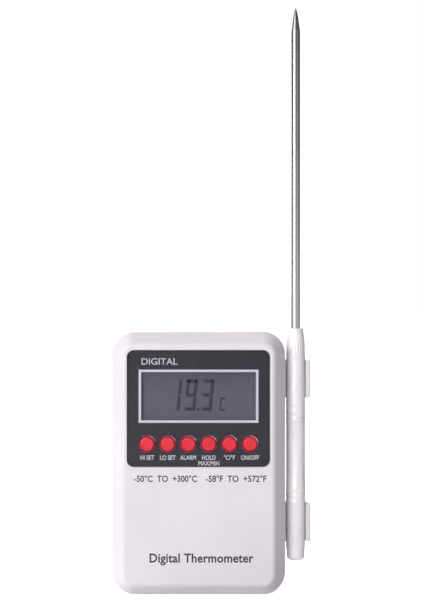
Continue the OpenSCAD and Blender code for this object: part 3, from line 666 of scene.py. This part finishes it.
# the front shell, in millimetres; recess and window give the depths between which they are cut
shell = {"corner": 9.0, "cornerSteps": 14, "slopeWide": 4.6, "slopeDeep": 5.0, "wall": 2.2,
         "faceEdge": 0.95, "rimEdge": 0.7, "edgeSteps": 5, "seamEdge": 0.18,
         "recess": (-10.4, -8.8), "recessRoom": 0.1, "recessCorner": 2.9, "recessEdge": 0.14,
         "window": (-9.4, -7.0), "windowRoom": 0.3, "windowCorner": 0.5, "windowLow": (-23.0, 0, 70.7),
         "windowHigh": (23.0, 0, 90.0), "keyHole": 3.2, "keyHoleAt": -8.4, "keyHoleLong": 4}
panelLow, panelHigh = [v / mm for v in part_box("front_lens")]
shellLow, shellHigh = [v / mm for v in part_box("front_case")]
keyNames = ["high_set", "low_set", "alarm", "hold", "unit", "power"]
keySpots = {key: sum(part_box(key + "_button"), Vector()) / 2 / mm for key in keyNames}
windowLow = Vector(shell["windowLow"])
windowHigh = Vector(shell["windowHigh"])

frontShell = addBlock("frontShell", (shellLow.x, shellLow.y + shell["slopeDeep"], shellLow.z), shellHigh)
startEdit(frontShell, "EDGE")
pickEdges(frontShell, lambda a, b: abs(a.x - b.x) < 1e-6 and abs(a.z - b.z) < 1e-6)
bpy.ops.mesh.bevel(offset=shell["corner"] * mm, segments=shell["cornerSteps"])
endEdit()
startEdit(frontShell)
pickFaces(frontShell, lambda c, n: n.y < -0.9)
bpy.ops.mesh.inset(thickness=shell["slopeWide"] * mm, depth=shell["slopeDeep"] * mm, use_even_offset=True)
endEdit()
faceY = shellLow.y * mm
rimY = (shellLow.y + shell["slopeDeep"]) * mm
seamY = shellHigh.y * mm
for level, width in ((faceY, "faceEdge"), (rimY, "rimEdge"), (seamY, "seamEdge")):
    startEdit(frontShell, "EDGE")
    pickEdges(frontShell, lambda a, b: abs(a.y - level) < 1e-5 and abs(b.y - level) < 1e-5)
    bpy.ops.mesh.bevel(offset=shell[width] * mm, segments=1 if width == "seamEdge" else shell["edgeSteps"])
    endEdit()
startEdit(frontShell)
pickFaces(frontShell, lambda c, n: n.y > 0.9 and c.y > seamY - 1e-5)
bpy.ops.mesh.delete(type="FACE")
endEdit()
useModifier(frontShell, "SOLIDIFY", thickness=shell["wall"] * mm, offset=-1, use_even_offset=True,
            use_rim=True)

room, (front, back) = shell["recessRoom"], shell["recess"]
recess = addRoundedBlock("recessCutter", (panelLow.x - room, front, panelLow.z - room),
                         (panelHigh.x + room, back, panelHigh.z + room), shell["recessCorner"])
room, (front, back) = shell["windowRoom"], shell["window"]
window = addRoundedBlock("windowCutter", (windowLow.x - room, front, windowLow.z - room),
                         (windowHigh.x + room, back, windowHigh.z + room), shell["windowCorner"], 3)
cutters = [recess, window]
for key in keyNames:
    spot = (keySpots[key].x, shell["keyHoleAt"], keySpots[key].z)
    cutters.append(addRod("holeCutter", spot, shell["keyHole"], shell["keyHoleLong"]))
cutAway(frontShell, cutters)
startEdit(frontShell, "EDGE")
reach = shell["recessRoom"] * 2    # the recess's front edges lie within this of the panel
pickEdges(frontShell, lambda a, b: max(a.y, b.y) < faceY + 1e-6
          and max(abs(a.x), abs(b.x)) < (panelHigh.x + reach) * mm
          and min(a.z, b.z) > (panelLow.z - reach) * mm and max(a.z, b.z) < (panelHigh.z + reach) * mm)
bpy.ops.mesh.bevel(offset=shell["recessEdge"] * mm, segments=2)
endEdit()
smoothByAngle(frontShell, 30)
keepFlats(frontShell)
settle(frontShell, "case", "white_plastic", finishes["white_plastic"], "front_case")
print("front shell", len(frontShell.data.polygons))


# capShare is the height of a capital letter as a share of the type size
lens = {"room": 0.035, "edge": 0.08, "ink": 0.02, "frame": 1.0, "capShare": 0.682}
clearLens = refineNode("front_lens", 0)
startEdit(clearLens, "VERT")
pickVerts(clearLens, lambda v: v.y > panelHigh.y * mm - 1e-5)
bpy.ops.transform.translate(value=(0, -lens["room"] * mm, 0))
endEdit()
softenEdges(clearLens, lens["edge"], 2, 60)
smoothByAngle(clearLens)
settle(clearLens, "case", "clear_lens", finishes["clear_lens"], "front_lens")


def printWords(words, x, z, cap, squeeze, weight, faceAt=panelHigh.y, anchor="CENTER", spread=1.0):
    # flat lettering, x and z are its anchor and baseline in millimetres
    deselectAll()
    bpy.ops.object.text_add()
    text = bpy.context.object
    text.data.body = words
    text.data.size = cap / lens["capShare"] * mm
    text.data.align_x = anchor
    text.data.space_character = spread
    text.data.extrude = lens["ink"] * mm / 2
    text.data.bevel_depth = weight * cap * mm    # a wider bevel makes a bolder letter
    text.data.bevel_resolution = 0
    text.data.resolution_u = 4
    bpy.ops.object.convert(target="MESH")
    text.rotation_euler = (math.pi / 2, 0, 0)
    text.scale = (squeeze, 1, lens["ink"] * mm / max(text.dimensions.z, 1e-6))
    text.location = (x * mm, (faceAt - lens["ink"] / 2) * mm, z * mm)
    applyPlace(text)
    return text


def tidyLettering(name, pieces):
    joined = joinPieces(name, pieces)
    startEdit(joined, "VERT")
    bpy.ops.mesh.select_all(action="SELECT")
    bpy.ops.mesh.remove_doubles(threshold=1e-7)
    bpy.ops.mesh.normals_make_consistent(inside=False)
    endEdit()
    return joined


labels = [("high_set", "HI SET", 0), ("low_set", "LO SET", 0), ("alarm", "ALARM", 0), ("hold", "HOLD", 0),
          ("hold", "MAX/MIN", 1), ("unit", "°C/°F", 0), ("power", "ON/OFF", 0)]
labelPrint = {"row": 54.9, "step": 2.3, "cap": 1.72, "squeeze": 0.8, "weight": 0.028}
words = [printWords(text, keySpots[key].x, labelPrint["row"] - labelPrint["step"] * line, labelPrint["cap"],
                    labelPrint["squeeze"], labelPrint["weight"]) for key, text, line in labels]
panelLabels = tidyLettering("panelLabels", words)
settle(panelLabels, "case", "black_ink", whitePrint)

captionWords = printWords("DIGITAL", -23.1, 93.0, cap=2.55, squeeze=1.05, weight=0.012, anchor="LEFT")
caption = tidyLettering("panelCaption", [captionWords])
settle(caption, "case", "black_ink", greyPrint)

borderLow = (windowLow.x - lens["frame"], panelHigh.y - lens["ink"], windowLow.z - lens["frame"])
borderHigh = (windowHigh.x + lens["frame"], panelHigh.y, windowHigh.z + lens["frame"])
border = addBlock("displayBorder", borderLow, borderHigh)
startEdit(border)
pickFaces(border, lambda c, n: abs(n.y) > 0.9)
bpy.ops.mesh.inset(thickness=lens["frame"] * mm)
bpy.ops.mesh.bridge_edge_loops()
endEdit()
smoothByAngle(border)
settle(border, "case", "black_ink", whitePrint)

# the reading: seven-bar figures, leaning a little
figures = {"thick": 0.02, "bar": 1.6, "smallBar": 0.85, "wide": 4.85, "tall": 12.9, "gap": 0.2,
           "lean": math.radians(5.5), "foot": 74.3, "tens": -7.5, "ones": -6.05, "tenths": 0.55, "mark": 8.2,
           "markWide": 2.6, "markTall": 5.6, "point": -0.2, "pointUp": 0.55, "pointRadius": 0.6}
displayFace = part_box("lcd_front_polariser")[0].y / mm


def addBar(x, z, length, upright, bar):
    # a six-sided bar with pointed ends, made upright and laid down if need be
    rod = addRod("bar", (0, displayFace - figures["thick"] / 2, 0), bar / 2, figures["thick"], "Y", 6)
    startEdit(rod, "VERT")
    for side in (1, -1):
        pickVerts(rod, lambda v: v.z * side > 1e-5)
        bpy.ops.transform.translate(value=(0, 0, side * (length - bar) / 2 * mm))
    endEdit()
    rod.rotation_euler = (0, 0 if upright else math.pi / 2, 0)
    rod.location = (x * mm, 0, z * mm)
    applyPlace(rod)
    return rod


def addFigure(x, z, wide, tall, lit, bar):
    # x and z are its lower left corner; the bars are named a to g as on any such display
    half = tall / 2
    gap = figures["gap"]
    long, across = half - gap, wide - bar / 2
    spots = {"a": (wide / 2, tall - bar / 2, 0), "b": (wide - bar / 2, half + half / 2, 1),
             "c": (wide - bar / 2, half / 2, 1), "d": (wide / 2, bar / 2, 0), "e": (bar / 2, half / 2, 1),
             "f": (bar / 2, half + half / 2, 1), "g": (wide / 2, half, 0)}
    bars = []
    for name in lit:
        dx, dz, upright = spots[name]
        bars.append(addBar(x + dx, z + dz, long if upright else across, upright, bar))
    return bars


foot, wide, tall, bar = (figures[key] for key in ("foot", "wide", "tall", "bar"))
bars = addFigure(figures["tens"] - wide, foot, wide, tall, "bc", bar)
bars += addFigure(figures["ones"], foot, wide, tall, "abcdfg", bar)
bars += addFigure(figures["tenths"], foot, wide, tall, "abcdg", bar)
bars += addFigure(figures["mark"], foot, figures["markWide"], figures["markTall"], "adef",
                  figures["smallBar"])
pointSpot = (figures["point"], displayFace - figures["thick"] / 2, foot + figures["pointUp"])
bars.append(addRod("point", pointSpot, figures["pointRadius"], figures["thick"]))
reading = joinPieces("displayReading", bars)
slant = Matrix.Identity(4)
slant[0][2] = math.tan(figures["lean"])
slant[0][3] = -math.tan(figures["lean"]) * foot * mm
reading.data.transform(slant)
startEdit(reading, "VERT")
bpy.ops.mesh.select_all(action="SELECT")
bpy.ops.mesh.normals_make_consistent(inside=False)
endEdit()
settle(reading, "case", "display_glass", displayInk)
print("lens, print and display ready")

# lettering on the case
casePrint = {"rangeLeft": -25.8, "rangeRight": 27.2, "rangeZ": 46.2, "rangeCap": 2.4, "rangeWeight": 0.03,
             "wordsX": 1.0, "wordsZ": 14.0, "wordsCap": 3.4, "wordsWeight": 0.035}
caseFace = faceY / mm
rangeZ, cap, weight = casePrint["rangeZ"], casePrint["rangeCap"], casePrint["rangeWeight"]
rangeWords = [printWords("-50°C  TO  +300°C", casePrint["rangeLeft"], rangeZ, cap, 0.88, weight, caseFace,
                         "LEFT"),
              printWords("-58°F  TO  +572°F", casePrint["rangeRight"], rangeZ, cap, 0.90, weight, caseFace,
                         "RIGHT")]
rangeLine = tidyLettering("rangeLine", rangeWords)
settle(rangeLine, "case", "black_ink", violetPrint)
footWords = printWords("Digital Thermometer", casePrint["wordsX"], casePrint["wordsZ"], casePrint["wordsCap"],
                       0.93, casePrint["wordsWeight"], caseFace, spread=1.04)
baseWords = tidyLettering("baseWords", [footWords])
settle(baseWords, "case", "black_ink", violetPrint)


# a key's cap: a dished disc in its top, a rounded edge, a stem and a flange behind the panel
keyShape = {"radius": 2.9, "round": 0.62, "roundSteps": 6, "drop": 0.95, "disc": 2.22, "dish": 0.05,
            "dishEdge": 0.35, "bead": 0.12, "beadDip": 0.03, "shoulder": 0.6, "fillet": 0.15, "chamfer": 0.12,
            "backEdge": 0.1}
for key in keyNames:
    low, high = [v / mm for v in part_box(key + "_button")]
    spot = keySpots[key]
    r, edge, disc, dish = (keyShape[name] for name in ("radius", "round", "disc", "dish"))
    flange = (high.x - low.x) / 2
    profile = [(0, dish), (disc - keyShape["dishEdge"], dish), (disc - keyShape["bead"], keyShape["beadDip"]),
               (disc, 0.0)]
    for i in range(keyShape["roundSteps"] + 1):
        turn = math.pi / 2 * i / keyShape["roundSteps"]
        profile.append((r - edge + edge * math.sin(turn), keyShape["drop"] * (1 - math.cos(turn))))
    depth = high.y - low.y
    ledge = depth - keyShape["shoulder"]
    fillet, chamfer, backEdge = (keyShape[name] for name in ("fillet", "chamfer", "backEdge"))
    profile += [(r, ledge - fillet), (r + fillet, ledge), (flange - chamfer, ledge),
                (flange, ledge + chamfer), (flange, depth - backEdge), (flange - backEdge, depth), (0, depth)]
    cap = spinProfile(key + "_cap", profile, (spot.x, low.y, spot.z))
    smoothByAngle(cap, 40)
    keysLit.objects.link(cap)
    settle(cap, bodyOf[key + "_button"], "red_plastic", finishes["red_plastic"], key + "_button")

# the thin ring round a key: its lip stands proud of the lens, its sleeve goes into the hole
collar = {"inner": 3.0, "sleeve": 3.17, "outer": 3.46, "lip": 0.34, "deep": 0.8, "lipIn": 0.05, "lipOut": 0.1,
          "slopeOut": 0.13, "thin": 0.02}
lensFace = panelLow.y
collars = []
for key in keyNames:
    spot = keySpots[key]
    inner, outer, lip, thin = (collar[name] for name in ("inner", "outer", "lip", "thin"))
    profile = [(inner, collar["deep"]), (inner, -lip + collar["lipIn"]), (inner + collar["lipIn"], -lip),
               (inner + collar["lipOut"], -lip), (inner + collar["slopeOut"], -lip + thin),
               (outer - thin, -thin), (outer, 0), (collar["sleeve"], 0), (collar["sleeve"], collar["deep"]),
               (inner, collar["deep"])]
    collars.append(spinProfile("collar", profile, (spot.x, lensFace, spot.z)))
keyCollars = joinPieces("keyCollars", collars)
smoothByAngle(keyCollars, 30)
keysLit.objects.link(keyCollars)
settle(keyCollars, "case", "red_plastic", darkRed)

# the rubber mat: a sheet, and a hollow dome under each key
mat = {"sheet": 1.0, "foot": 3.1, "pad": 2.2, "bore": 1.7, "roof": 0.5, "travel": 0.9, "inFront": 0.01,
       "spare": 1, "hip": 0.06, "hipRise": 0.05, "waist": 0.02, "edge": 0.1}
matLow, matHigh = [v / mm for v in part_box("key_mat")]
matSheet = refineNode("key_mat", 0)
sheetFace = matHigh.y - mat["sheet"] - mat["inFront"]    # the cut stays clear of the sheet's own face
spare = mat["spare"]
cutAway(matSheet, [addBlock("domeCutter", (matLow.x - spare, matLow.y - spare, matLow.z - spare),
                            (matHigh.x + spare, sheetFace, matHigh.z + spare))])
smoothByAngle(matSheet)
settle(matSheet, "case", "silicone", finishes["silicone"], "key_mat")
for key in keyNames:
    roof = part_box(key + "_pill")[0].y / mm - sheetFace
    tall = matLow.y - sheetFace
    pad, crown, edge = mat["pad"], roof - mat["roof"], mat["edge"]
    profile = [(0, roof), (mat["bore"], roof), (mat["bore"], 0), (mat["foot"], 0),
               (pad + mat["hip"], crown + mat["hipRise"]), (pad, crown - mat["waist"]),
               (pad, tall + edge), (pad - edge, tall), (0, tall)]
    spot = (keySpots[key].x, sheetFace, keySpots[key].z)
    dome = spinProfile(key + "_dome", profile, spot, 48)
    smoothByAngle(dome, 40)
    settle(dome, "case", "silicone", finishes["silicone"], "key_mat")
    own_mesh(dome)
print("keys ready")


# the fine flutes round the probe's nose, between two heights
nose = {"flutes": 20, "fluteRadius": 0.3, "bite": 0.09, "from": 97.6, "to": 103.6, "radius": 3.72}
noseNode = refineNode("handle_nose", 0.12)
tubeLow, tubeHigh = [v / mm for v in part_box("handle_tube")]
axisX, axisY = (tubeLow.x + tubeHigh.x) / 2, (tubeLow.y + tubeHigh.y) / 2
flutes = []
for i in range(nose["flutes"]):
    turn = 2 * math.pi * i / nose["flutes"]
    reach = nose["radius"] + nose["fluteRadius"] - nose["bite"]
    spot = (axisX + reach * math.cos(turn), axisY + reach * math.sin(turn), (nose["from"] + nose["to"]) / 2)
    flutes.append(addRod("flute", spot, nose["fluteRadius"], nose["to"] - nose["from"], "Z", 16))
cutAway(noseNode, [joinPieces("flutes", flutes)])
smoothByAngle(noseNode, 28)
handleLit.objects.link(noseNode)
settle(noseNode, bodyOf["handle_nose"], "handle_plastic", finishes["handle_plastic"], "handle_nose")

for node in nodes:
    nodes[node].data.materials.clear()
    nodes[node].data.materials.append(finishes[slotOf[node]])
print("probe ready")
